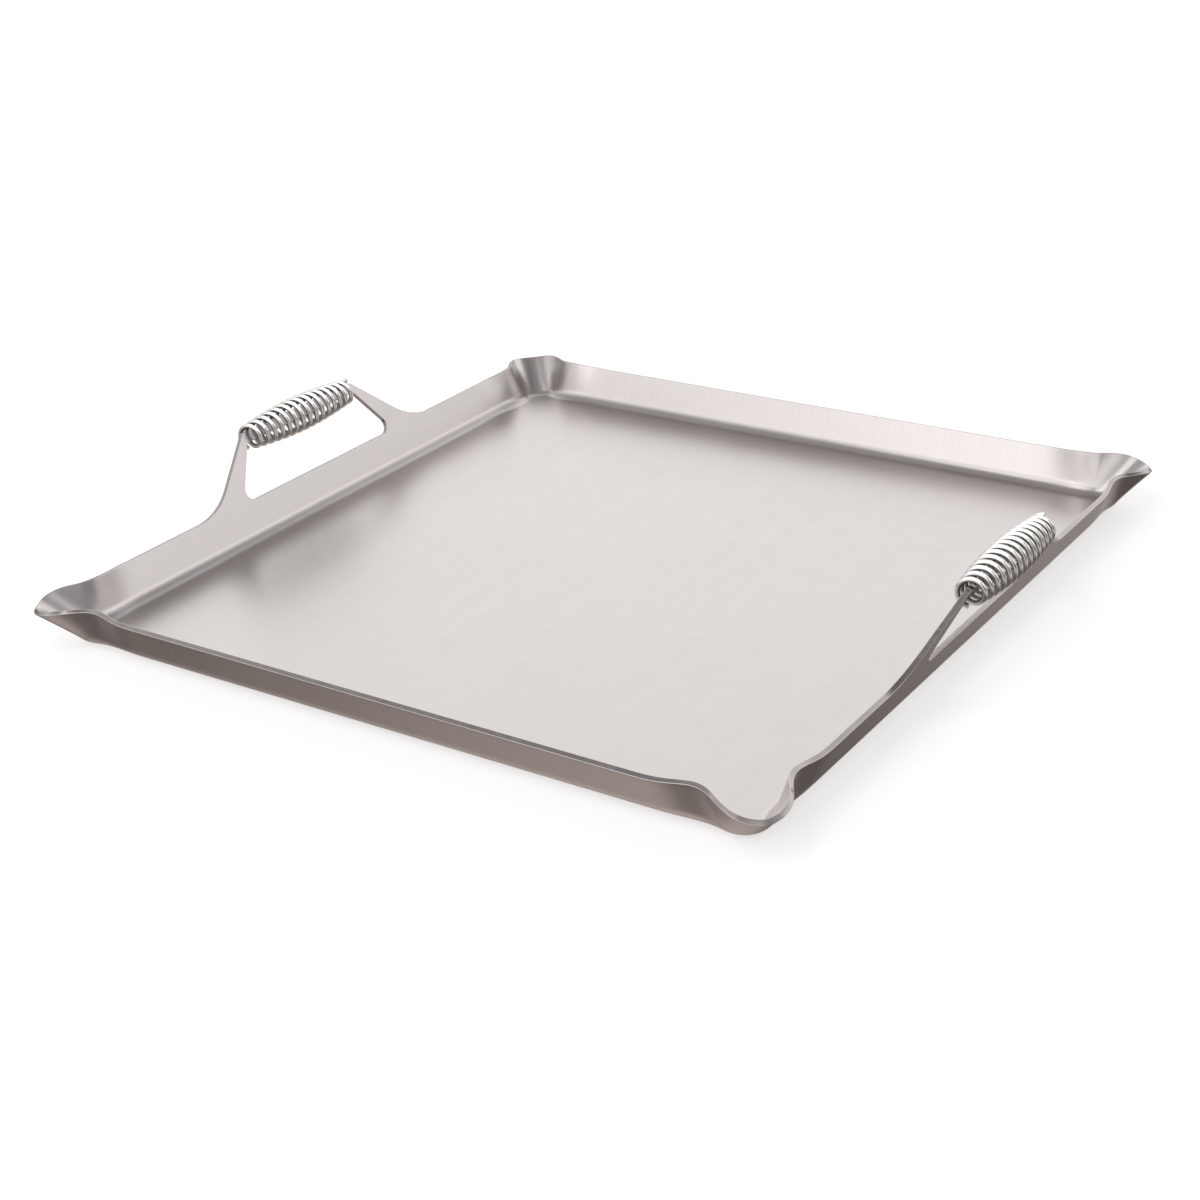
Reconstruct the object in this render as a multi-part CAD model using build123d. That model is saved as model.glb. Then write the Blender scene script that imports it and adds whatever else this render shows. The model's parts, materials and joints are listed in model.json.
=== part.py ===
from build123d import *

import math
import os

# Drop-on griddle for a four-burner range: one formed steel pan with two coil-spring grips.
#
# The pan is a single sheet.  Its floor turns up into four flared walls, each corner is pinched
# in and then drawn out into a pouring spout, and the two side walls run on upwards as closed
# handle loops.  A barrel-shaped coil of wire is wound onto each loop's crossbar and turns
# freely on it.
#
# Frame: +Z up, origin on the underside at the middle of the floor, handles at -X and +X.
# Units: millimetres.

# ---- sheet and pan -------------------------------------------------------------------------
SHEET = 4.0                # sheet thickness
RIM_LENGTH_X = 600.0       # over the outer arris of the straight rims
RIM_LENGTH_Y = 616.0
WALL_HEIGHT = 33.4         # underside to the inner arris of the rim
FLARE = 23.0               # lean of each wall from vertical, degrees
BEND_OUTSIDE = 15.0        # outside radius of the floor bend
CORNER_REACH = 96.0        # length of wall, from the corner, that belongs to the formed corner
BOTTOM_CORNER = 24.0       # plan radius of the bend line at a corner
FLOOR_INSET = 12.0         # from the bend line in to where the flat floor panel starts

# The rim near a corner: distance from the corner, push outwards, rise above the straight rim.
RIM_WAVE = (
    (96.0, 0.0, 0.0),
    (84.0, 0.0, 0.1),
    (74.0, -0.6, 0.5),
    (66.0, -1.9, 1.1),
    (59.0, -3.2, 1.8),
    (52.0, -3.9, 2.4),
    (46.0, -3.3, 2.4),
    (41.0, -1.7, 2.1),
    (36.0, 0.8, 1.6),
    (31.0, 3.9, 1.1),
    (25.0, 7.2, 0.4),
    (18.0, 9.8, -0.8),
    (11.0, 10.5, -2.2),
    (4.0, 8.9, -3.8),
    (-4.0, 4.0, -4.8),     # the lip, on the diagonal
)

# ---- handle loops, measured up the slope of the wall from the rim ---------------------------
BAR_CENTRE = 46.0          # middle of the crossbar
BAR_DEPTH = 9.0            # crossbar, upper edge to lower edge
LOOP_TOP_HALF = 67.0       # half length of the crossbar's upper edge
ARM_FOOT_HALF = 123.0      # where the arm's outer edge would meet the rim
WINDOW_TOP_HALF = 66.5     # half width of the window under the crossbar
WINDOW_FOOT_HALF = 95.5    # half width of the window at its sill
WINDOW_SILL = -1.5         # the window's lower edge, just below the rim
FOOT_RADIUS = 60.0         # hollow curve where the arm runs out into the rim
WINDOW_FOOT_RADIUS = 7.5
WINDOW_TOP_RADIUS = 4.0
SHOULDER_RADIUS = 5.0

# ---- coil grips ----------------------------------------------------------------------------
WIRE = 3.8                 # wire diameter
COIL_TURNS = 15.5
COIL_LENGTH = 130.0        # over both ends
COIL_END_RADIUS = 8.5      # to the wire's centre
COIL_MIDDLE_RADIUS = 13.1
COIL_HANG = 1.0            # the loose coil's axis lies this far below the crossbar's
POINTS_PER_TURN = 12

# ---- worked out ----------------------------------------------------------------------------
LEAN = math.radians(FLARE)
RIM_OUTER_Z = WALL_HEIGHT - SHEET * math.sin(LEAN)
WALL_SPREAD = RIM_OUTER_Z * math.tan(LEAN)
HALF_X = RIM_LENGTH_X / 2
HALF_Y = RIM_LENGTH_Y / 2
BEND_CENTRE = WALL_SPREAD + BOTTOM_CORNER     # from the rim corner in to the corner's centre


def wall_section(foot, outward, bend_at, rim_reach, rim_z):
    """A cut through the sheet in the vertical plane that runs from foot along outward.

    bend_at and rim_reach are distances from foot to the bend line and to the rim's outer arris.
    """
    lean = math.atan2(rim_reach - bend_at, rim_z)
    tangent = BEND_OUTSIDE * math.tan((math.pi / 2 - lean) / 2)
    inward = (-SHEET * math.cos(lean), SHEET * math.sin(lean))
    centre = (bend_at - tangent, BEND_OUTSIDE)

    def place(r, z):
        return Vector(foot[0] + outward[0] * r, foot[1] + outward[1] * r, z)

    def on_bend(radius, share):
        turn = (math.pi / 2 - lean) * share
        return centre[0] + radius * math.sin(turn), centre[1] - radius * math.cos(turn)

    rim_outer = (rim_reach, rim_z)
    rim_inner = (rim_reach + inward[0], rim_z + inward[1])
    inside = BEND_OUTSIDE - SHEET
    outer = [on_bend(BEND_OUTSIDE, share) for share in (0, 0.5, 1)]
    inner = [on_bend(inside, share) for share in (1, 0.5, 0)]
    edges = [
        Edge.make_line(place(0, 0), place(*outer[0])),
        Edge.make_three_point_arc(*[place(*p) for p in outer]),
        Edge.make_line(place(*outer[2]), place(*rim_outer)),
        Edge.make_line(place(*rim_outer), place(*rim_inner)),
        Edge.make_line(place(*rim_inner), place(*inner[0])),
        Edge.make_three_point_arc(*[place(*p) for p in inner]),
        Edge.make_line(place(*inner[2]), place(0, SHEET)),
        Edge.make_line(place(0, SHEET), place(0, 0)),
    ]
    return Wire(edges)


def corner_sections():
    """The sections round the +X +Y corner, from the rear wall to the right-hand wall."""
    half = []
    for distance, push, rise in RIM_WAVE:
        reach_x = BEND_CENTRE - distance          # from the corner's centre to the rim point
        reach_y = BEND_CENTRE + push
        floor = BOTTOM_CORNER - FLOOR_INSET
        if reach_x <= 0:
            foot = (reach_x, floor)
            outward = (0.0, 1.0)
            reach = reach_y
        else:
            reach = math.hypot(reach_x, reach_y)
            outward = (reach_x / reach, reach_y / reach)
            foot = (outward[0] * floor, outward[1] * floor)
        half.append((foot, outward, reach - floor, RIM_OUTER_Z + rise))
    mirrored = [((f[1], f[0]), (o[1], o[0]), r, z) for f, o, r, z in reversed(half[:-1])]
    sections = []
    for foot, outward, reach, rim_z in half + mirrored:
        moved = (foot[0] + HALF_X - BEND_CENTRE, foot[1] + HALF_Y - BEND_CENTRE)
        sections.append(wall_section(moved, outward, FLOOR_INSET, reach, rim_z))
    return sections


def is_flat_at(shape, height):
    """True where the whole face or edge lies at one height."""
    box = shape.bounding_box()
    return abs(box.min.Z - height) < 1e-3 and abs(box.max.Z - height) < 1e-3


def wall_skin(solid, is_end):
    """The faces of a stretch of wall that stay on the pan: bend, wall and rim, inside and out."""
    kept = []
    for face in solid.faces():
        on_floor = face.bounding_box().max.Z < SHEET + 0.01
        if not on_floor and not is_end(face):
            kept.append(face)
    return kept


def straight_section():
    """The section of a straight wall, in the XZ plane of the right-hand wall."""
    bend_line = HALF_X - WALL_SPREAD
    foot = (bend_line - FLOOR_INSET, 0.0)
    return wall_section(foot, (1.0, 0.0), FLOOR_INSET, FLOOR_INSET + WALL_SPREAD, RIM_OUTER_Z)


def handle_plane():
    """The middle of the right-hand wall's sheet: x along the rim, y up the slope."""
    across = (math.cos(LEAN), 0.0, -math.sin(LEAN))
    half = SHEET / 2
    origin = (HALF_X - half * across[0], 0.0, RIM_OUTER_Z - half * across[2])
    return Plane(origin=origin, x_dir=(0, 1, 0), z_dir=across)


def symmetric_outline(half_points):
    """A closed face from the points of its +x half, listed from the top to the bottom."""
    other = [(-x, y) for x, y in reversed(half_points)]
    return make_face(Polyline(*half_points, *other, close=True))


def fillet_at(face, x, y, radius):
    """The face with its corners at (+x, y) and (-x, y) rounded."""
    corners = [v for v in face.vertices() if abs(abs(v.X) - x) < 0.01 and abs(v.Y - y) < 0.01]
    return fillet(corners, radius)


def handle_wall():
    """The right-hand wall: a straight stretch of wall that runs on up as the handle loop."""
    run = HALF_Y - CORNER_REACH
    wall = extrude(Face(straight_section()), amount=run, dir=(0, 1, 0), both=True)
    bar_top = BAR_CENTRE + BAR_DEPTH / 2
    bar_bottom = BAR_CENTRE - BAR_DEPTH / 2
    foot_end = ARM_FOOT_HALF + FOOT_RADIUS / 2
    root = WINDOW_SILL - SHEET
    loop = symmetric_outline(
        [(LOOP_TOP_HALF, bar_top), (ARM_FOOT_HALF, 0), (foot_end, 0), (foot_end, root)]
    )
    loop = fillet_at(loop, ARM_FOOT_HALF, 0, FOOT_RADIUS)
    loop = fillet_at(loop, LOOP_TOP_HALF, bar_top, SHOULDER_RADIUS)
    window = symmetric_outline([(WINDOW_TOP_HALF, bar_bottom), (WINDOW_FOOT_HALF, WINDOW_SILL)])
    window = fillet_at(window, WINDOW_FOOT_HALF, WINDOW_SILL, WINDOW_FOOT_RADIUS)
    window = fillet_at(window, WINDOW_TOP_HALF, bar_bottom, WINDOW_TOP_RADIUS)
    plane = handle_plane()
    wall += extrude(plane * loop, amount=SHEET / 2, both=True)
    wall -= extrude(plane * window, amount=SHEET, both=True)
    return wall


def plain_wall():
    """The rear wall: straight, with an open rim."""
    run = HALF_X - CORNER_REACH
    turned = Rot(Z=90) * Pos(X=HALF_Y - HALF_X) * Face(straight_section())
    return extrude(turned, amount=run, dir=(1, 0, 0), both=True)


def is_plane(face):
    """True for a flat face."""
    return face.geom_type == GeomType.PLANE


def faces_along(axis):
    """A test for the end faces of a wall that runs along the given axis."""
    def is_end(face):
        return is_plane(face) and abs(face.normal_at().dot(axis.direction)) > 0.999
    return is_end


def griddle_pan():
    """The whole pan, sewn from the skins of its four walls, four corners and its floor."""
    skins = []
    corner = Solid.make_loft(corner_sections())
    for face in wall_skin(corner, is_plane):
        across = face.mirror(Plane.YZ)
        skins += [face, across, face.mirror(Plane.XZ), across.mirror(Plane.XZ)]
    for face in wall_skin(handle_wall(), faces_along(Axis.Y)):
        skins += [face, face.mirror(Plane.YZ)]
    for face in wall_skin(plain_wall(), faces_along(Axis.X)):
        skins += [face, face.mirror(Plane.XZ)]
    for height in (0.0, SHEET):
        border = [edge for face in skins for edge in face.edges() if is_flat_at(edge, height)]
        skins.append(Face(Wire(border)))
    return Solid(Shell(skins))


def grip_axis(side):
    """The middle of a coil grip; side is +1 at +X and -1 at -X."""
    point = handle_plane().from_local_coords((0, BAR_CENTRE, 0))
    return Vector(side * point.X, 0, point.Z - COIL_HANG)


def coil_point(share, side):
    """The wire's centre, from one end of the coil (share 0) to the other (share 1)."""
    turn = 2 * math.pi * COIL_TURNS * share - math.pi / 2
    swell = math.sin(math.pi * share)
    radius = COIL_END_RADIUS + (COIL_MIDDLE_RADIUS - COIL_END_RADIUS) * swell
    along = (COIL_LENGTH - WIRE) * (share - 0.5)
    centre = grip_axis(side)
    return Vector(
        centre.X + radius * math.cos(turn), along, centre.Z + radius * math.sin(turn)
    )


def coil_grip(side):
    """One barrel-shaped coil of round wire."""
    count = int(COIL_TURNS * POINTS_PER_TURN)
    path = Edge.make_spline([coil_point(i / count, side) for i in range(count + 1)])
    section = Plane(origin=path @ 0, z_dir=path % 0) * Circle(WIRE / 2)
    return sweep(section, path=path, is_frenet=True)


def main():
    os.makedirs("parts", exist_ok=True)
    export_step(griddle_pan(), "parts/griddle_pan.step")
    export_step(coil_grip(-1), "parts/left_coil_grip.step")
    export_step(coil_grip(1), "parts/right_coil_grip.step")


if __name__ == "__main__":
    main()
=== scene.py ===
"""Looks for the drop-on griddle: a satin steel pan with two bright wire coil grips.

The pan is rebuilt as a smooth sheet with eased edges, the coils as round plated wire, and both
stand in for the CAD solids of the same places.  Units are metres; +Z is up.
"""

import json
import math

import bmesh
import bpy
from bpy.props import FloatProperty, FloatVectorProperty, IntProperty, PointerProperty
from mathutils import Matrix, Vector


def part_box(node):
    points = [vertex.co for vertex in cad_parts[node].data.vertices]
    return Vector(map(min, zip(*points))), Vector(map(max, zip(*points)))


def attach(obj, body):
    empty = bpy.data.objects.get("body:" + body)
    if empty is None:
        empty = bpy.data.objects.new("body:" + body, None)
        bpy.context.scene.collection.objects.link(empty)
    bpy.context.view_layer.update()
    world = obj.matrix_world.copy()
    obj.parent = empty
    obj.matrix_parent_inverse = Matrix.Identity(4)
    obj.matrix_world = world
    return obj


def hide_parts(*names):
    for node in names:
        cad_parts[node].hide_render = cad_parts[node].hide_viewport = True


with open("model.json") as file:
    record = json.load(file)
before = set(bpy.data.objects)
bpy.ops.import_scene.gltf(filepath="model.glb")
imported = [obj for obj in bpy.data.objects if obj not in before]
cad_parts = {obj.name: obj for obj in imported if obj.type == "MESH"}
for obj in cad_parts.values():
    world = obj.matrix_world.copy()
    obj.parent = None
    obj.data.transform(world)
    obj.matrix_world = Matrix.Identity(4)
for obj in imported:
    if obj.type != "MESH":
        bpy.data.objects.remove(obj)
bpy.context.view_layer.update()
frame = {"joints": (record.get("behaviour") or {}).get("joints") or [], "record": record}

bl_info = {
    "name": "Drop-on griddle",
    "version": (1, 0, 0),
    "blender": (4, 5, 0),
    "location": "View3D > Sidebar > Griddle",
    "description": "Builds a steel griddle pan with coil-spring grips around its CAD frame",
    "category": "Add Mesh",
}

MM = 0.001
JOINTS = {joint["name"]: joint for joint in frame["joints"]}
MOUNTS = {mount["name"]: mount for mount in frame["record"]["mounts"]}
GRIP_LOW, GRIP_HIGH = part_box("right_coil_grip")

BEND_STEPS = 10                   # facets round the floor bend
WALL_STEPS = 8                    # facets up the wall in the formed corners
CORNER_STEPS = 7                  # facets between two corner sections
FILLET_STEPS = 14                 # facets round each curve of the handle
ARRIS_STEPS = 3                   # facets round an eased edge
SHARP_ANGLE = math.radians(50)    # an edge that turns more than this is eased
WELD = 0.001 * MM                 # points nearer than this become one
BOX_CLEARANCE = 0.03 * MM         # keeps the facets of the round wire inside the CAD box

# The rim near a corner, in millimetres: distance from the corner, push outwards, rise.
RIM_WAVE = (
    (96.0, 0.0, 0.0),
    (84.0, 0.0, 0.1),
    (74.0, -0.6, 0.5),
    (66.0, -1.9, 1.1),
    (59.0, -3.2, 1.8),
    (52.0, -3.9, 2.4),
    (46.0, -3.3, 2.4),
    (41.0, -1.7, 2.1),
    (36.0, 0.8, 1.6),
    (31.0, 3.9, 1.1),
    (25.0, 7.2, 0.4),
    (18.0, 9.8, -0.8),
    (11.0, 10.5, -2.2),
    (4.0, 8.9, -3.8),
    (-4.0, 4.0, -4.8),     # the lip, on the diagonal
)

# Noise patterns: cycles per metre in X, Y and Z, detail and roughness.
FINE_GRAIN = ((1500.0, 30.0, 1.0), 4.0, 0.65)
BROAD_GRAIN = ((240.0, 4.0, 1.0), 3.0, 0.55)
CLOUD = ((13.0, 8.0, 1.0), 5.0, 0.62)
MOTTLE = ((75.0, 50.0, 1.0), 3.0, 0.55)
SWELL = ((6.0, 4.0, 1.0), 1.0, 0.3)
SCUFFS = ((16.0, 16.0, 90.0), 4.0, 0.6)
SHEAR_MARKS = ((130.0, 130.0, 500.0), 4.0, 0.55)
SHEAR_DRIFT = ((30.0, 30.0, 30.0), 2.0, 0.55)
ARRIS_RUB = ((90.0, 90.0, 90.0), 4.0, 0.6)
SPANGLE = ((520.0, 520.0, 520.0), 3.0, 0.6)
WIRE_RUB = ((70.0, 40.0, 70.0), 3.0, 0.55)

# Shades before the patterns are added, as shares of the finish's colour.
SHEET_SHADE = 0.815
EDGE_SHADE = 0.70
ARRIS_SHADE = 0.88
WIRE_SHADE = 0.90
EDGE_DARKER = 0.78                # the cut edge's colour, as a share of the sheet's
SHEET_SMOOTHER = 0.10             # taken off the roughness, because the patterns add to it
WIRE_ROUGHNESS = 0.07
# The wire's darkening inside the coil is painted shade, standing in for the shadow between the turns.
COIL_INSIDE_PAINTED_SHADE = 0.80                    # how much of its colour the wire loses inside the coil
INSIDE_COIL = (-0.6, 0.15)        # cosines to straight out: wholly inside, and no longer inside
SCUFF_HEIGHTS = (3 * MM, 15 * MM)      # the scuffs fade out between these

# The studio's brightness by height: sine of the elevation, level, warmth.
ROOM_LEVELS = (
    (-1.0, 0.13, 0.13),
    (-0.68, 0.09, 0.15),
    (-0.42, 0.44, 0.09),
    (-0.02, 0.36, 0.05),
    (0.03, 0.44, 0.02),
    (0.12, 0.62, 0.02),
    (0.22, 1.00, 0.01),
    (0.55, 1.00, 0.01),
    (0.80, 0.31, 0.03),
    (1.0, 0.25, 0.05),
)
BLUE_LOSS = 1.4                   # the warmth takes this much more blue than green
ROOM_STRENGTH = 1.25
BACKDROP = 0.85                   # level that the camera sees past the floor

# Patches of the studio: direction, cosines where each starts and where it is full, level there.
ROOM_PATCHES = (
    ((0.95, -0.22, 0.22), 0.78, 0.95, 0.26),       # the unlit side
    ((-0.98, -0.08, 0.18), 0.80, 0.93, 0.60),      # the narrow left-hand end
    ((0.39, 0.52, 0.76), 0.90, 0.985, 0.50),       # between the lights high at the back
    ((-0.25, 0.15, -0.955), 0.80, 0.96, 4.2),      # the part of the table that is lit
)

# Softboxes: name, place, width and power in watts.
SOFTBOXES = (
    ("Front left softbox", (-0.6, -2.2, 1.05), 1.2, 2.2),
    ("Key softbox", (-0.35, -0.9, 1.9), 0.9, 3.4),
)
COIL_SOFTBOX = ("Coil softbox", (0.0, 0.0, 1.6), 3.0, 27)
COIL_LIGHT_GROUP = "coils_under_softbox"      # all that the coil softbox lights
LIGHT_TARGET = (0, 0, 0.03)       # the softboxes face this
FLOOR_HALF = 15.0                 # half the width of the floor
FLOOR_GLOW = 0.50
SENSOR_WIDTH = 36                 # in millimetres, as the lens is


# ---- settings ----------------------------------------------------------------------------------
class PanShape(bpy.types.PropertyGroup):
    """Sizes of the pressed pan."""

    sheet: FloatProperty(
        name="Sheet", description="Thickness of the steel sheet",
        default=MOUNTS["cooking_surface"]["pos_m"][2], unit="LENGTH",
    )
    rim_x: FloatProperty(
        name="Length over rims", description="Between the outer edges of the two handled walls",
        default=600 * MM, unit="LENGTH",
    )
    rim_y: FloatProperty(
        name="Depth over rims", description="Between the outer edges of the two plain walls",
        default=616 * MM, unit="LENGTH",
    )
    wall_height: FloatProperty(
        name="Wall height", description="From the underside to the rim's inner edge",
        default=33.4 * MM, unit="LENGTH",
    )
    flare: FloatProperty(
        name="Flare", description="Lean of the walls from upright",
        default=math.radians(23), subtype="ANGLE",
    )
    bend_radius: FloatProperty(
        name="Bend radius", description="Outside radius between the floor and the walls",
        default=15.0 * MM, unit="LENGTH",
    )
    bottom_corner: FloatProperty(
        name="Corner radius", description="Radius of the bend line at a corner, seen from above",
        default=24 * MM, unit="LENGTH",
    )
    floor_inset: FloatProperty(
        name="Floor inset", description="From the bend line in to the corner's inner sections",
        default=12 * MM, unit="LENGTH",
    )
    arris: FloatProperty(
        name="Eased edge", description="Rounding of the sheared edges",
        default=0.45 * MM, unit="LENGTH",
    )


class HandleShape(bpy.types.PropertyGroup):
    """Sizes of the handle loops, up the slope of the wall from the rim."""

    bar_centre: FloatProperty(
        name="Bar height", description="From the rim up to the middle of the crossbar",
        default=46 * MM, unit="LENGTH",
    )
    bar_depth: FloatProperty(
        name="Bar depth", description="Depth of the crossbar",
        default=9 * MM, unit="LENGTH",
    )
    loop_top: FloatProperty(
        name="Loop top", description="Half length of the crossbar's upper edge",
        default=67 * MM, unit="LENGTH",
    )
    arm_foot: FloatProperty(
        name="Arm foot", description="Half width over the arms where they meet the rim",
        default=123 * MM, unit="LENGTH",
    )
    window_top: FloatProperty(
        name="Window top", description="Half width of the finger gap under the crossbar",
        default=66.5 * MM, unit="LENGTH",
    )
    window_foot: FloatProperty(
        name="Window foot", description="Half width of the finger gap at its sill",
        default=95.5 * MM, unit="LENGTH",
    )
    sill: FloatProperty(
        name="Sill", description="Height of the finger gap's lower edge above the rim",
        default=-1.5 * MM, unit="LENGTH",
    )
    foot_radius: FloatProperty(
        name="Foot curve", description="Hollow curve from the arm into the rim",
        default=60 * MM, unit="LENGTH",
    )
    window_foot_radius: FloatProperty(
        name="Window foot curve", description="Rounding of the finger gap's lower corners",
        default=7.5 * MM, unit="LENGTH",
    )
    window_top_radius: FloatProperty(
        name="Window top curve", description="Rounding of the finger gap's upper corners",
        default=4 * MM, unit="LENGTH",
    )
    shoulder_radius: FloatProperty(
        name="Shoulder curve", description="Rounding of the loop's upper outer corners",
        default=5 * MM, unit="LENGTH",
    )


class GripShape(bpy.types.PropertyGroup):
    """Sizes of the coil grips."""

    wire: FloatProperty(
        name="Wire", description="Wire diameter", default=3.8 * MM, unit="LENGTH",
    )
    turns: FloatProperty(name="Turns", description="Turns of wire in one coil", default=15.5)
    end_radius: FloatProperty(
        name="End radius", description="Coil radius at its ends, to the middle of the wire",
        default=8.5 * MM, unit="LENGTH",
    )
    turn_points: IntProperty(
        name="Points per turn", description="Points along the wire in each turn", default=44,
    )
    wire_sides: IntProperty(
        name="Wire sides", description="Facets round the wire", default=14,
    )


class Finishes(bpy.types.PropertyGroup):
    """Colours and polish."""

    sheet_colour: FloatVectorProperty(
        name="Sheet colour", description="Colour of the satin steel",
        default=(0.640, 0.605, 0.595), subtype="COLOR",
    )
    sheet_roughness: FloatProperty(
        name="Sheet roughness", description="Roughness of the satin grain", default=0.30,
    )
    wire_colour: FloatVectorProperty(
        name="Wire colour", description="Colour of the plated wire",
        default=(0.88, 0.88, 0.85), subtype="COLOR",
    )


class Studio(bpy.types.PropertyGroup):
    """Where the camera stands, and how bright the studio is."""

    azimuth: FloatProperty(
        name="Azimuth", description="Camera direction round the griddle",
        default=math.radians(34.159), subtype="ANGLE",
    )
    elevation: FloatProperty(
        name="Elevation", description="Camera height above the horizon",
        default=math.radians(24.408), subtype="ANGLE",
    )
    roll: FloatProperty(
        name="Roll", description="Camera tilt about its own axis",
        default=math.radians(-2.667), subtype="ANGLE",
    )
    distance: FloatProperty(
        name="Distance", description="Camera distance from the griddle's origin",
        default=1.6172, unit="LENGTH",
    )
    lens: FloatProperty(
        name="Lens", description="Focal length in millimetres on a 36 mm frame", default=63.16,
    )
    shift: FloatVectorProperty(
        name="Shift", description="Lens shift across and up", size=2,
        default=(-0.01747, -0.02643),
    )
    floor_colour: FloatVectorProperty(
        name="Floor colour", description="Colour of the plain floor",
        default=(0.86, 0.86, 0.86), subtype="COLOR",
    )


def settings(context):
    """The griddle's settings in this scene."""
    scene = context.scene
    return scene.griddle_pan, scene.griddle_handle, scene.griddle_grip, scene.griddle_finish


# ---- node helpers ------------------------------------------------------------------------------
def add_node(tree, kind, **values):
    """A new node, with the given values for its own fields."""
    node = tree.nodes.new(kind)
    for name, value in values.items():
        setattr(node, name, value)
    return node


def set_inputs(node, **values):
    """Sets a node's input sockets by name, with underscores for spaces."""
    for name, value in values.items():
        node.inputs[name.replace("_", " ")].default_value = value
    return node


def math_node(tree, operation, first, second=None):
    """A Math node's result.  Each operand is a socket or a number."""
    node = add_node(tree, "ShaderNodeMath", operation=operation)
    for index, operand in enumerate((first, second)):
        if isinstance(operand, (int, float)):
            node.inputs[index].default_value = operand
        elif operand is not None:
            tree.links.new(operand, node.inputs[index])
    return node.outputs[0]


def map_range(tree, value, low, high, to_low, to_high, kind="SMOOTHSTEP"):
    """Value carried from one range to another, clamped."""
    node = add_node(tree, "ShaderNodeMapRange", interpolation_type=kind)
    set_inputs(node, From_Min=low, From_Max=high, To_Min=to_low, To_Max=to_high)
    tree.links.new(value, node.inputs["Value"])
    return node.outputs["Result"]


def facing_towards(tree, direction, target):
    """How nearly a direction faces a target, as a cosine.  The target is a socket or a vector."""
    node = add_node(tree, "ShaderNodeVectorMath", operation="DOT_PRODUCT")
    tree.links.new(direction, node.inputs[0])
    if isinstance(target, tuple):
        node.inputs[1].default_value = target
    else:
        tree.links.new(target, node.inputs[1])
    return node.outputs["Value"]


def weighted(tree, base, *parts):
    """A base plus each part's value times its amount.  The base is a socket or a number."""
    for value, amount in parts:
        base = math_node(tree, "ADD", base, math_node(tree, "MULTIPLY", value, amount))
    return base


def bumped(tree, height, strength, distance, over=None):
    """The normal bumped by a height, over another normal where one is given."""
    bump = add_node(tree, "ShaderNodeBump")
    set_inputs(bump, Strength=strength, Distance=distance)
    tree.links.new(height, bump.inputs["Height"])
    if over is not None:
        tree.links.new(over, bump.inputs["Normal"])
    return bump.outputs["Normal"]


def stretched_noise(tree, coordinates, pattern):
    """One of the noise patterns named above."""
    scale, detail, roughness = pattern
    mapping = add_node(tree, "ShaderNodeMapping")
    mapping.inputs["Scale"].default_value = scale
    tree.links.new(coordinates, mapping.inputs["Vector"])
    noise = add_node(tree, "ShaderNodeTexNoise")
    set_inputs(noise, Scale=1.0, Detail=detail, Roughness=roughness)
    tree.links.new(mapping.outputs["Vector"], noise.inputs["Vector"])
    return noise.outputs["Fac"]


def new_metal(name, roughness):
    """A metal material, and its tree and shader."""
    material = bpy.data.materials.new(name)
    material.use_nodes = True
    tree = material.node_tree
    shader = tree.nodes["Principled BSDF"]
    shader.inputs["Metallic"].default_value = 1.0
    shader.inputs["Roughness"].default_value = roughness
    return material, tree, shader


def tinted(tree, colour, shade):
    """A colour multiplied by a shade that varies about 1."""
    scale = add_node(tree, "ShaderNodeVectorMath", operation="SCALE")
    scale.inputs[0].default_value = colour
    tree.links.new(shade, scale.inputs["Scale"])
    return scale.outputs["Vector"]


# ---- materials ---------------------------------------------------------------------------------
def satin_sheet(finish, name, scuffed):
    """Satin steel: a fine grain one way along the flat blank, which the bends carry up the walls,
    over soft clouds, a faint mottle and a slight swell.

    The outside is scuffed under the floor and round the bends, where it drags over the grates.
    """
    material, tree, shader = new_metal(name, finish.sheet_roughness)
    blank = add_node(tree, "ShaderNodeUVMap", uv_map="Blank").outputs["UV"]
    fine = stretched_noise(tree, blank, FINE_GRAIN)
    broad = stretched_noise(tree, blank, BROAD_GRAIN)
    cloud = stretched_noise(tree, blank, CLOUD)
    mottle = stretched_noise(tree, blank, MOTTLE)
    swell = stretched_noise(tree, blank, SWELL)
    shade = weighted(
        tree, SHEET_SHADE, (fine, 0.12), (broad, 0.07), (cloud, 0.13), (mottle, 0.06)
    )
    smooth = finish.sheet_roughness - SHEET_SMOOTHER
    rough = weighted(tree, smooth, (fine, 0.12), (cloud, 0.08))
    if scuffed:
        place = add_node(tree, "ShaderNodeTexCoord").outputs["Object"]
        height = add_node(tree, "ShaderNodeSeparateXYZ")
        tree.links.new(place, height.inputs["Vector"])
        low = map_range(tree, height.outputs["Z"], *SCUFF_HEIGHTS, 1.0, 0.0)
        patches = map_range(tree, stretched_noise(tree, place, SCUFFS), 0.46, 0.64, 0.0, 1.0)
        scuff = math_node(tree, "MULTIPLY", patches, low)
        shade = weighted(tree, shade, (scuff, 0.16))
        rough = weighted(tree, rough, (scuff, 0.20))
    tree.links.new(tinted(tree, tuple(finish.sheet_colour), shade), shader.inputs["Base Color"])
    tree.links.new(rough, shader.inputs["Roughness"])
    grain = bumped(tree, weighted(tree, fine, (broad, 0.4)), 0.20, 0.05 * MM)
    tree.links.new(bumped(tree, swell, 1.0, 0.5 * MM, grain), shader.inputs["Normal"])
    return material


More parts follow.
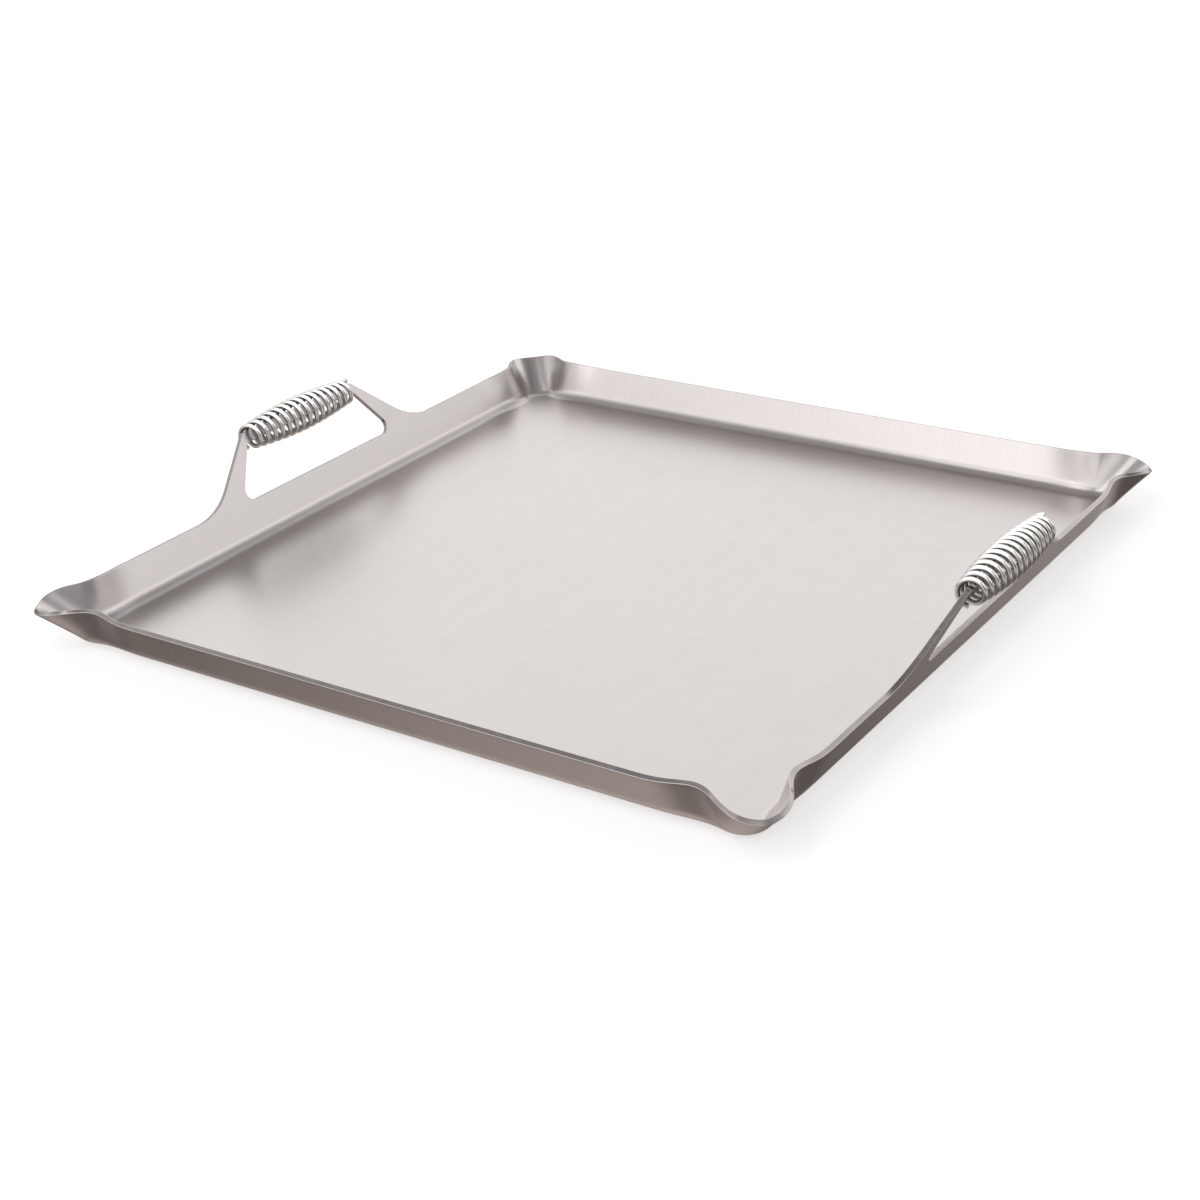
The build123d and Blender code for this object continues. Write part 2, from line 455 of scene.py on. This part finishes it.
def sheared_edge(finish):
    """The sheet's cut edge: burnished by the shear in places and torn dull in others."""
    material, tree, shader = new_metal("sheared_edge", 0.3)
    place = add_node(tree, "ShaderNodeTexCoord").outputs["Object"]
    marks = stretched_noise(tree, place, SHEAR_MARKS)
    drift = stretched_noise(tree, place, SHEAR_DRIFT)
    shade = weighted(tree, EDGE_SHADE, (marks, 0.18), (drift, 0.22))
    colour = tuple(EDGE_DARKER * part for part in finish.sheet_colour)
    tree.links.new(tinted(tree, colour, shade), shader.inputs["Base Color"])
    tree.links.new(map_range(tree, marks, 0.3, 0.7, 0.18, 0.28), shader.inputs["Roughness"])
    tree.links.new(bumped(tree, marks, 0.10, 0.03 * MM), shader.inputs["Normal"])
    return material


def worn_arris(finish):
    """The eased corner of a cut edge, rubbed brighter than the cut itself."""
    material, tree, shader = new_metal("worn_arris", 0.2)
    place = add_node(tree, "ShaderNodeTexCoord").outputs["Object"]
    rub = stretched_noise(tree, place, ARRIS_RUB)
    shade = weighted(tree, ARRIS_SHADE, (rub, 0.25))
    tree.links.new(tinted(tree, tuple(finish.sheet_colour), shade), shader.inputs["Base Color"])
    tree.links.new(map_range(tree, rub, 0.3, 0.7, 0.22, 0.34), shader.inputs["Roughness"])
    return material


def plated_wire(finish):
    """Bright plated spring wire with a faint spangle, rougher inside the coil and darkened there with
    painted shade.
    """
    material, tree, shader = new_metal("plated_wire", 0.12)
    inside = add_node(tree, "ShaderNodeAttribute", attribute_name="inside").outputs["Fac"]
    place = add_node(tree, "ShaderNodeTexCoord").outputs["Object"]
    spangle = stretched_noise(tree, place, SPANGLE)
    rubbed = stretched_noise(tree, place, WIRE_RUB)
    shade = weighted(tree, WIRE_SHADE, (spangle, 0.10), (rubbed, 0.10))
    # painted shade: the wire is darkened where it faces into the coil, for the shadow between the
    # turns
    shade = math_node(tree, "MULTIPLY", shade, weighted(tree, 1.0, (inside, -COIL_INSIDE_PAINTED_SHADE)))
    tree.links.new(tinted(tree, tuple(finish.wire_colour), shade), shader.inputs["Base Color"])
    rough = weighted(tree, WIRE_ROUGHNESS, (spangle, 0.06), (rubbed, 0.06), (inside, 0.30))
    tree.links.new(rough, shader.inputs["Roughness"])
    tree.links.new(bumped(tree, spangle, 0.10, 0.05 * MM), shader.inputs["Normal"])
    return material


# ---- the pan's mesh ----------------------------------------------------------------------------
def sheet_section(pan, foot, outward, bend_at, reach, rim_z):
    """One cut through a wall: up its outside from the floor, over the rim and down its inside.

    Each point is x, y, z and its place on the flat blank before the sheet was formed.
    """
    lean = math.atan2(reach - bend_at, rim_z)
    swing = math.pi / 2 - lean
    tangent = pan.bend_radius * math.tan(swing / 2)
    middle = pan.bend_radius - pan.sheet / 2

    def on_bend(radius, share):
        turn = swing * share
        across = bend_at - tangent + radius * math.sin(turn)
        up = pan.bend_radius - radius * math.cos(turn)
        return across, up, bend_at - tangent + middle * turn

    def skin(radius, rim):
        points = [on_bend(radius, step / BEND_STEPS) for step in range(BEND_STEPS + 1)]
        start = points[-1]
        for step in range(1, WALL_STEPS + 1):
            share = step / WALL_STEPS
            points.append(tuple(a + (b - a) * share for a, b in zip(start, rim)))
        return points

    slope = math.hypot(reach - bend_at, rim_z) - tangent
    unrolled = bend_at - tangent + middle * swing + slope
    inner_rim = (reach - pan.sheet * math.cos(lean), rim_z + pan.sheet * math.sin(lean), unrolled)
    outside = skin(pan.bend_radius, (reach, rim_z, unrolled))
    inside = skin(pan.bend_radius - pan.sheet, inner_rim)
    points = []
    for across, up, flat in outside + inside[::-1]:
        points.append((
            foot[0] + outward[0] * across, foot[1] + outward[1] * across, up,
            foot[0] + outward[0] * flat, foot[1] + outward[1] * flat,
        ))
    return points


def wall_spread(pan):
    """How far the straight rim's outer edge stands out past the bend line, and its height."""
    rim_z = pan.wall_height - pan.sheet * math.sin(pan.flare)
    return rim_z * math.tan(pan.flare), rim_z


def corner_sections(pan):
    """The sections round the corner at +X +Y, from the rear wall to the right-hand wall."""
    spread, rim_z = wall_spread(pan)
    centre_in = spread + pan.bottom_corner
    floor = pan.bottom_corner - pan.floor_inset
    half = []
    for distance, push, rise in RIM_WAVE:
        reach_x = centre_in - distance * MM
        reach_y = centre_in + push * MM
        if reach_x <= 0:
            foot, outward, reach = (reach_x, floor), (0.0, 1.0), reach_y
        else:
            reach = math.hypot(reach_x, reach_y)
            outward = (reach_x / reach, reach_y / reach)
            foot = (outward[0] * floor, outward[1] * floor)
        half.append((foot, outward, reach - floor, rim_z + rise * MM))
    mirrored = [(f[::-1], o[::-1], reach, z) for f, o, reach, z in reversed(half[:-1])]
    centre = (pan.rim_x / 2 - centre_in, pan.rim_y / 2 - centre_in)
    sections = []
    for foot, outward, reach, z in half + mirrored:
        moved = (foot[0] + centre[0], foot[1] + centre[1])
        sections.append(sheet_section(pan, moved, outward, pan.floor_inset, reach, z))
    return sections


def smooth_between(sections, steps):
    """Sections added between the given ones, on smooth curves through their matching points."""
    dense = []
    last = len(sections) - 1
    for index in range(last):
        near = [sections[min(max(index + offset, 0), last)] for offset in (-1, 0, 1, 2)]
        for step in range(steps):
            t = step / steps
            weights = (
                (-t + 2 * t**2 - t**3) / 2,
                (2 - 5 * t**2 + 3 * t**3) / 2,
                (t + 4 * t**2 - 3 * t**3) / 2,
                (-t**2 + t**3) / 2,
            )
            dense.append([
                tuple(sum(w * value for w, value in zip(weights, values)) for values in zip(*points))
                for points in zip(*near)
            ])
    dense.append(sections[-1])
    return dense


def rounded_corner(before, corner, after, radius):
    """Points of the arc that rounds a corner between two straight runs."""
    a = (Vector(before) - Vector(corner)).normalized()
    b = (Vector(after) - Vector(corner)).normalized()
    half = a.angle(b) / 2
    centre = Vector(corner) + (a + b).normalized() * (radius / math.sin(half))
    start = Vector(corner) + a * (radius / math.tan(half)) - centre
    sweep = math.pi - 2 * half
    turn = 1.0 if a.x * b.y - a.y * b.x < 0 else -1.0
    arc = []
    for step in range(FILLET_STEPS + 1):
        angle = turn * sweep * step / FILLET_STEPS
        cos, sin = math.cos(angle), math.sin(angle)
        arc.append((
            centre.x + start.x * cos - start.y * sin,
            centre.y + start.x * sin + start.y * cos,
        ))
    return arc


def loop_outline(handle):
    """Half the handle's outer edge, from the rim to the middle of the crossbar's top."""
    top = handle.bar_centre + handle.bar_depth / 2
    foot = (handle.arm_foot, 0.0)
    shoulder = (handle.loop_top, top)
    rim = (handle.arm_foot + handle.foot_radius, 0.0)
    return [
        *rounded_corner(rim, foot, shoulder, handle.foot_radius),
        *rounded_corner(foot, shoulder, (0.0, top), handle.shoulder_radius),
        (0.0, top),
    ]


def window_outline(handle):
    """Half the finger gap's edge, from the middle under the crossbar to the middle of the sill."""
    bottom = handle.bar_centre - handle.bar_depth / 2
    upper = (handle.window_top, bottom)
    lower = (handle.window_foot, handle.sill)
    return [
        (0.0, bottom),
        *rounded_corner((0.0, bottom), upper, lower, handle.window_top_radius),
        *rounded_corner(upper, lower, (0.0, handle.sill), handle.window_foot_radius),
        (0.0, handle.sill),
    ]


class SheetBuilder:
    """Collects one quarter of the pan in all four of its mirrored places."""

    OUTSIDE, INSIDE, EDGE, ARRIS = range(4)

    def __init__(self, mesh_name):
        self.mesh = bpy.data.meshes.new(mesh_name)
        self.bm = bmesh.new()
        self.blank = self.bm.verts.layers.float_vector.new("blank")
        self.sign = (1, 1)

    def vertex(self, point):
        x, y, z, flat_x, flat_y = point
        sx, sy = self.sign
        vertex = self.bm.verts.new((x * sx, y * sy, z))
        vertex[self.blank] = (flat_x * sx, flat_y * sy, 0.0)
        return vertex

    def face(self, corners, kind):
        if self.sign[0] * self.sign[1] < 0:
            corners = corners[::-1]
        face = self.bm.faces.new(corners)
        face.material_index = kind
        face.smooth = True

    def strip(self, first, second, kind):
        for a, b, c, d in zip(first, first[1:], second[1:], second):
            self.face([a, b, c, d], kind)

    def finish(self):
        bmesh.ops.remove_doubles(self.bm, verts=self.bm.verts, dist=WELD)
        bmesh.ops.recalc_face_normals(self.bm, faces=self.bm.faces)
        uv = self.bm.loops.layers.uv.new("Blank")
        for face in self.bm.faces:
            for loop in face.loops:
                loop[uv].uv = loop.vert[self.blank].xy
        self.bm.to_mesh(self.mesh)
        self.bm.free()
        return self.mesh


def add_quarter(builder, pan, handle):
    """The quarter of the pan at +X +Y: half the rear wall, the corner and half a handled wall."""
    spread, rim_z = wall_spread(pan)
    last_outside = BEND_STEPS + WALL_STEPS
    corner = smooth_between(corner_sections(pan), CORNER_STEPS)
    rear_foot = (0.0, pan.rim_y / 2 - spread - pan.floor_inset)
    side_foot = (pan.rim_x / 2 - spread - pan.floor_inset, 0.0)
    reach = pan.floor_inset + spread
    rear = sheet_section(pan, rear_foot, (0.0, 1.0), pan.floor_inset, reach, rim_z)
    side = sheet_section(pan, side_foot, (1.0, 0.0), pan.floor_inset, reach, rim_z)

    rows = [[builder.vertex(point) for point in section] for section in [rear, *corner]]
    for row, following in zip(rows, rows[1:]):
        builder.strip(row[: last_outside + 1], following[: last_outside + 1], builder.OUTSIDE)
        over_rim = slice(last_outside, last_outside + 2)
        builder.strip(row[over_rim], following[over_rim], builder.EDGE)
        builder.strip(row[last_outside + 1:], following[last_outside + 1:], builder.INSIDE)

    end = rows[-1]
    outer_bend = [builder.vertex(point) for point in side[: BEND_STEPS + 1]]
    inner_bend = [builder.vertex(point) for point in side[-BEND_STEPS - 1:]]
    builder.strip(end[: BEND_STEPS + 1], outer_bend, builder.OUTSIDE)
    builder.strip(end[-BEND_STEPS - 1:], inner_bend, builder.INSIDE)

    rim_outer, rim_inner = side[last_outside], side[last_outside + 1]
    sin, cos = math.sin(pan.flare), math.cos(pan.flare)

    def on_wall(rim, along, up):
        return builder.vertex((
            rim[0] + up * sin, along, rim[2] + up * cos, rim[3] + up, along,
        ))

    outline, window = loop_outline(handle), window_outline(handle)
    skins = []
    for rim in (rim_outer, rim_inner):
        skins.append((
            [on_wall(rim, along, up) for along, up in outline],
            [on_wall(rim, along, up) for along, up in window],
        ))
    (outer_loop, outer_window), (inner_loop, inner_window) = skins
    outer_wall = end[BEND_STEPS: last_outside + 1]
    inner_wall = end[last_outside + 1: -BEND_STEPS]
    builder.face([*outer_wall, *outer_loop, *outer_window, outer_bend[-1]], builder.OUTSIDE)
    builder.face(
        [*inner_wall[::-1], *inner_loop, *inner_window, inner_bend[0]][::-1], builder.INSIDE
    )
    builder.strip([outer_wall[-1], *outer_loop], [inner_wall[0], *inner_loop], builder.EDGE)
    builder.strip(outer_window, inner_window, builder.EDGE)

    under = builder.vertex((0.0, 0.0, 0.0, 0.0, 0.0))
    over = builder.vertex((0.0, 0.0, pan.sheet, 0.0, 0.0))
    builder.face([under, *[row[0] for row in rows], outer_bend[0]], builder.OUTSIDE)
    builder.face([over, *[row[-1] for row in rows], inner_bend[-1]][::-1], builder.INSIDE)


def applied(context, piece):
    """Turns the piece's modifiers into its plain mesh."""
    context.view_layer.update()
    shown = piece.evaluated_get(context.evaluated_depsgraph_get())
    mesh = bpy.data.meshes.new_from_object(shown)
    mesh.name = piece.name
    piece.modifiers.clear()
    piece.data = mesh
    return piece


class OBJECT_OT_griddle_pan(bpy.types.Operator):
    """Build the one-piece steel pan with its spouts and handle loops"""

    bl_idname = "object.griddle_pan"
    bl_label = "Griddle pan"

    def execute(self, context):
        pan, handle, _, finish = settings(context)
        builder = SheetBuilder("griddle_pan_sheet")
        for builder.sign in ((1, 1), (-1, 1), (-1, -1), (1, -1)):
            add_quarter(builder, pan, handle)
        piece = bpy.data.objects.new("griddle_pan_sheet", builder.finish())
        context.scene.collection.objects.link(piece)
        for material in (
            satin_sheet(finish, "satin_outside", scuffed=True),
            satin_sheet(finish, "satin_cooking_face", scuffed=False),
            sheared_edge(finish),
            worn_arris(finish),
        ):
            piece.data.materials.append(material)
        ease = piece.modifiers.new("Eased edges", "BEVEL")
        ease.width = pan.arris
        ease.segments = ARRIS_STEPS
        ease.limit_method = "ANGLE"
        ease.angle_limit = SHARP_ANGLE
        ease.material = SheetBuilder.ARRIS
        piece.modifiers.new("Even shading", "WEIGHTED_NORMAL")
        applied(context, piece)
        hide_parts("griddle_pan")
        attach(piece, "pan")
        return {"FINISHED"}


# ---- coil grips --------------------------------------------------------------------------------
def coil_tree():
    """Geometry nodes for a barrel-shaped coil of round wire along Y about a given middle."""
    tree = bpy.data.node_groups.new("Barrel coil", "GeometryNodeTree")
    tree.interface.new_socket("Geometry", in_out="OUTPUT", socket_type="NodeSocketGeometry")
    for name, kind in (
        ("Turns", "Float"), ("Points per turn", "Int"), ("Wire", "Float"), ("Wire sides", "Int"),
        ("Length", "Float"), ("End radius", "Float"), ("Middle radius", "Float"),
        ("Middle", "Vector"), ("Finish", "Material"),
    ):
        tree.interface.new_socket(name, in_out="INPUT", socket_type="NodeSocket" + kind)
    given = add_node(tree, "NodeGroupInput").outputs
    result = add_node(tree, "NodeGroupOutput")
    link = tree.links.new

    spiral = set_inputs(
        add_node(tree, "GeometryNodeCurveSpiral"), Start_Radius=1.0, End_Radius=1.0, Height=1.0
    )
    link(given["Points per turn"], spiral.inputs["Resolution"])
    link(given["Turns"], spiral.inputs["Rotations"])
    share = add_node(tree, "GeometryNodeSplineParameter").outputs["Factor"]
    swell = math_node(tree, "SINE", math_node(tree, "MULTIPLY", share, math.pi))
    growth = math_node(tree, "SUBTRACT", given["Middle radius"], given["End radius"])
    radius = math_node(
        tree, "ADD", given["End radius"], math_node(tree, "MULTIPLY", growth, swell)
    )
    at = add_node(tree, "ShaderNodeSeparateXYZ")
    link(add_node(tree, "GeometryNodeInputPosition").outputs[0], at.inputs[0])
    span = math_node(tree, "SUBTRACT", given["Length"], given["Wire"])
    place = add_node(tree, "ShaderNodeCombineXYZ")
    link(math_node(tree, "MULTIPLY", at.outputs["Y"], radius), place.inputs["X"])
    link(math_node(tree, "MULTIPLY", math_node(tree, "SUBTRACT", share, 0.5), span), place.inputs["Y"])
    drop = math_node(tree, "MULTIPLY", at.outputs["X"], radius)
    link(math_node(tree, "MULTIPLY", drop, -1.0), place.inputs["Z"])
    moved = add_node(tree, "ShaderNodeVectorMath", operation="ADD")
    link(place.outputs[0], moved.inputs[0])
    link(given["Middle"], moved.inputs[1])
    route = add_node(tree, "GeometryNodeSetPosition")
    link(spiral.outputs["Curve"], route.inputs["Geometry"])
    link(moved.outputs[0], route.inputs["Position"])

    section = add_node(tree, "GeometryNodeCurvePrimitiveCircle", mode="RADIUS")
    link(given["Wire sides"], section.inputs["Resolution"])
    link(math_node(tree, "MULTIPLY", given["Wire"], 0.5), section.inputs["Radius"])
    wire = add_node(tree, "GeometryNodeCurveToMesh")
    wire.inputs["Fill Caps"].default_value = True
    link(route.outputs["Geometry"], wire.inputs["Curve"])
    link(section.outputs["Curve"], wire.inputs["Profile Curve"])
    # How far each point of the wire faces into the coil; the material darkens those points as painted
    # shade and makes them rougher.
    outward = add_node(tree, "ShaderNodeVectorMath", operation="SUBTRACT")
    link(add_node(tree, "GeometryNodeInputPosition").outputs[0], outward.inputs[0])
    link(given["Middle"], outward.inputs[1])
    radial = add_node(tree, "ShaderNodeVectorMath", operation="MULTIPLY")
    link(outward.outputs[0], radial.inputs[0])
    radial.inputs[1].default_value = (1.0, 0.0, 1.0)
    unit = add_node(tree, "ShaderNodeVectorMath", operation="NORMALIZE")
    link(radial.outputs[0], unit.inputs[0])
    normal = add_node(tree, "GeometryNodeInputNormal").outputs[0]
    faces_out = facing_towards(tree, unit.outputs[0], normal)
    marked = add_node(tree, "GeometryNodeStoreNamedAttribute", data_type="FLOAT", domain="POINT")
    marked.inputs["Name"].default_value = "inside"
    link(wire.outputs["Mesh"], marked.inputs["Geometry"])
    link(map_range(tree, faces_out, *INSIDE_COIL, 1.0, 0.0), marked.inputs["Value"])
    real = add_node(tree, "GeometryNodeRealizeInstances")
    link(marked.outputs["Geometry"], real.inputs["Geometry"])
    coat = add_node(tree, "GeometryNodeSetMaterial")
    link(real.outputs["Geometry"], coat.inputs["Geometry"])
    link(given["Finish"], coat.inputs["Material"])
    link(coat.outputs["Geometry"], result.inputs["Geometry"])
    return tree


def give_inputs(modifier, values):
    """Sets a node modifier's inputs, found by their names, through their identifiers."""
    for item in modifier.node_group.interface.items_tree:
        if item.item_type == "SOCKET" and item.in_out == "INPUT":
            modifier[item.identifier] = values[item.name]


def coil_piece(context, side, tree, material):
    """One coil grip, as a plain mesh."""
    _, _, grip, _ = settings(context)
    piece = bpy.data.objects.new(side + "_coil_wire", bpy.data.meshes.new(side + "_coil_wire"))
    context.scene.collection.objects.link(piece)
    modifier = piece.modifiers.new("Coil", "NODES")
    modifier.node_group = tree
    give_inputs(modifier, {
        "Turns": grip.turns,
        "Points per turn": grip.turn_points,
        "Wire": grip.wire,
        "Wire sides": grip.wire_sides,
        "Length": GRIP_HIGH.y - GRIP_LOW.y,
        "End radius": grip.end_radius,
        "Middle radius": (GRIP_HIGH.z - GRIP_LOW.z - grip.wire) / 2 - BOX_CLEARANCE,
        "Middle": JOINTS[side + "_grip_spin"]["pos_m"],
        "Finish": material,
    })
    applied(context, piece)
    for face in piece.data.polygons:
        face.use_smooth = len(face.vertices) == 4
    if not piece.data.polygons:
        raise RuntimeError("the coil's node tree made no faces")
    return piece


class OBJECT_OT_griddle_grips(bpy.types.Operator):
    """Wind the two barrel-shaped wire coils round the handle bars"""

    bl_idname = "object.griddle_grips"
    bl_label = "Coil grips"

    def execute(self, context):
        _, _, _, finish = settings(context)
        tree, material = coil_tree(), plated_wire(finish)
        for side in ("left", "right"):
            piece = coil_piece(context, side, tree, material)
            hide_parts(side + "_coil_grip")
            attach(piece, side + "_grip")
            bpy.data.collections[COIL_LIGHT_GROUP].objects.link(piece)
        return {"FINISHED"}


# ---- studio ------------------------------------------------------------------------------------
def studio_world(scene):
    """A soft white room, brightest above the horizon and dim overhead and below, with its patches.

    What the camera itself sees past the floor is plain white.
    """
    world = bpy.data.worlds.new("Studio")
    scene.world = world
    world.use_nodes = True
    tree = world.node_tree
    link = tree.links.new
    towards = add_node(tree, "ShaderNodeTexCoord").outputs["Generated"]
    facing = add_node(tree, "ShaderNodeSeparateXYZ")
    link(towards, facing.inputs[0])
    ramp = add_node(tree, "ShaderNodeValToRGB")
    link(map_range(tree, facing.outputs["Z"], -1.0, 1.0, 0.0, 1.0, "LINEAR"), ramp.inputs["Fac"])
    stops = ramp.color_ramp.elements
    while len(stops) > 1:
        stops.remove(stops[-1])
    for height, level, warmth in ROOM_LEVELS:
        stop = stops.new((height + 1) / 2)
        stop.color = (level, level * (1 - warmth), level * (1 - BLUE_LOSS * warmth), 1)
    stops.remove(stops[0])

    patched = 1.0
    for direction, start, full, there in ROOM_PATCHES:
        cosine = facing_towards(tree, towards, direction)
        patch = map_range(tree, cosine, start, full, 1.0, there)
        patched = math_node(tree, "MULTIPLY", patch, patched)
    room = add_node(tree, "ShaderNodeVectorMath", operation="SCALE")
    link(ramp.outputs["Color"], room.inputs[0])
    link(patched, room.inputs["Scale"])
    seen = add_node(tree, "ShaderNodeMix", data_type="RGBA")
    link(add_node(tree, "ShaderNodeLightPath").outputs["Is Camera Ray"], seen.inputs["Factor"])
    link(room.outputs[0], seen.inputs["A"])
    seen.inputs["B"].default_value = (BACKDROP, BACKDROP, BACKDROP, 1)
    background = tree.nodes["Background"]
    background.inputs["Strength"].default_value = ROOM_STRENGTH
    link(seen.outputs["Result"], background.inputs["Color"])


def soft_light(scene, name, place, size, power):
    """A large square light that faces the griddle."""
    light = bpy.data.lights.new(name, "AREA")
    light.size = size
    light.energy = power
    lamp = bpy.data.objects.new(name, light)
    lamp.location = place
    lamp.rotation_euler = (Vector(place) - Vector(LIGHT_TARGET)).to_track_quat("Z", "Y").to_euler()
    scene.collection.objects.link(lamp)
    return lamp


def studio_floor(scene, colour):
    """The plain floor under the griddle."""
    material = bpy.data.materials.new("plain_floor")
    material.use_nodes = True
    shader = material.node_tree.nodes["Principled BSDF"]
    set_inputs(
        shader, Base_Color=(*colour, 1), Roughness=0.9, Specular_IOR_Level=0.1,
        Emission_Color=(1, 1, 1, 1), Emission_Strength=FLOOR_GLOW,
    )
    mesh = bpy.data.meshes.new("studio_floor")
    signs = ((-1, -1), (1, -1), (1, 1), (-1, 1))
    corners = [(x * FLOOR_HALF, y * FLOOR_HALF, 0) for x, y in signs]
    mesh.from_pydata(corners, [], [(0, 1, 2, 3)])
    floor = bpy.data.objects.new("studio_floor", mesh)
    mesh.materials.append(material)
    scene.collection.objects.link(floor)
    floor.visible_glossy = False


def studio_camera(scene, studio):
    """The camera, aimed past the griddle's origin by the lens shift."""
    az, el = studio.azimuth, studio.elevation
    back = Vector((math.sin(az) * math.cos(el), -math.cos(az) * math.cos(el), math.sin(el)))
    right = Vector((math.cos(az), math.sin(az), 0.0))
    up = back.cross(right)
    cos, sin = math.cos(studio.roll), math.sin(studio.roll)
    axes = Matrix((right * cos + up * sin, up * cos - right * sin, back)).transposed()
    camera = bpy.data.objects.new("Camera", bpy.data.cameras.new("Camera"))
    camera.data.sensor_width = SENSOR_WIDTH
    camera.data.lens = studio.lens
    camera.data.shift_x, camera.data.shift_y = studio.shift
    camera.matrix_world = Matrix.Translation(back * studio.distance) @ axes.to_4x4()
    scene.collection.objects.link(camera)
    scene.camera = camera


class OBJECT_OT_griddle_stage(bpy.types.Operator):
    """Set up the plain floor, the soft lights and the camera"""

    bl_idname = "object.griddle_stage"
    bl_label = "Studio"

    def execute(self, context):
        scene = context.scene
        studio = scene.griddle_studio
        studio_world(scene)
        studio_floor(scene, studio.floor_colour)
        studio_camera(scene, studio)
        for softbox in SOFTBOXES:
            soft_light(scene, *softbox)
        overhead = soft_light(scene, *COIL_SOFTBOX)
        overhead.light_linking.receiver_collection = bpy.data.collections.new(COIL_LIGHT_GROUP)
        scene.view_settings.view_transform = "Standard"
        return {"FINISHED"}


class VIEW3D_PT_griddle(bpy.types.Panel):
    """The griddle's pieces and their sizes"""

    bl_label = "Griddle"
    bl_space_type = "VIEW_3D"
    bl_region_type = "UI"
    bl_category = "Griddle"

    def draw(self, context):
        layout = self.layout
        for operator in (OBJECT_OT_griddle_pan, OBJECT_OT_griddle_grips, OBJECT_OT_griddle_stage):
            layout.operator(operator.bl_idname)
        for name in SETTINGS:
            group = getattr(context.scene, name)
            box = layout.box()
            for key in group.__annotations__:
                box.prop(group, key)


SETTINGS = {
    "griddle_pan": PanShape,
    "griddle_handle": HandleShape,
    "griddle_grip": GripShape,
    "griddle_finish": Finishes,
    "griddle_studio": Studio,
}
CLASSES = (
    *SETTINGS.values(),
    OBJECT_OT_griddle_pan,
    OBJECT_OT_griddle_grips,
    OBJECT_OT_griddle_stage,
    VIEW3D_PT_griddle,
)


def register():
    """Adds the settings, operators and panel."""
    for each in CLASSES:
        bpy.utils.register_class(each)
    for name, group in SETTINGS.items():
        setattr(bpy.types.Scene, name, PointerProperty(type=group))


def unregister():
    """Takes them away again."""
    for name in SETTINGS:
        delattr(bpy.types.Scene, name)
    for each in reversed(CLASSES):
        bpy.utils.unregister_class(each)


def main():
    """Builds every piece and the studio."""
    register()
    bpy.ops.object.griddle_stage()
    bpy.ops.object.griddle_pan()
    bpy.ops.object.griddle_grips()


if __name__ == "__main__":
    main()
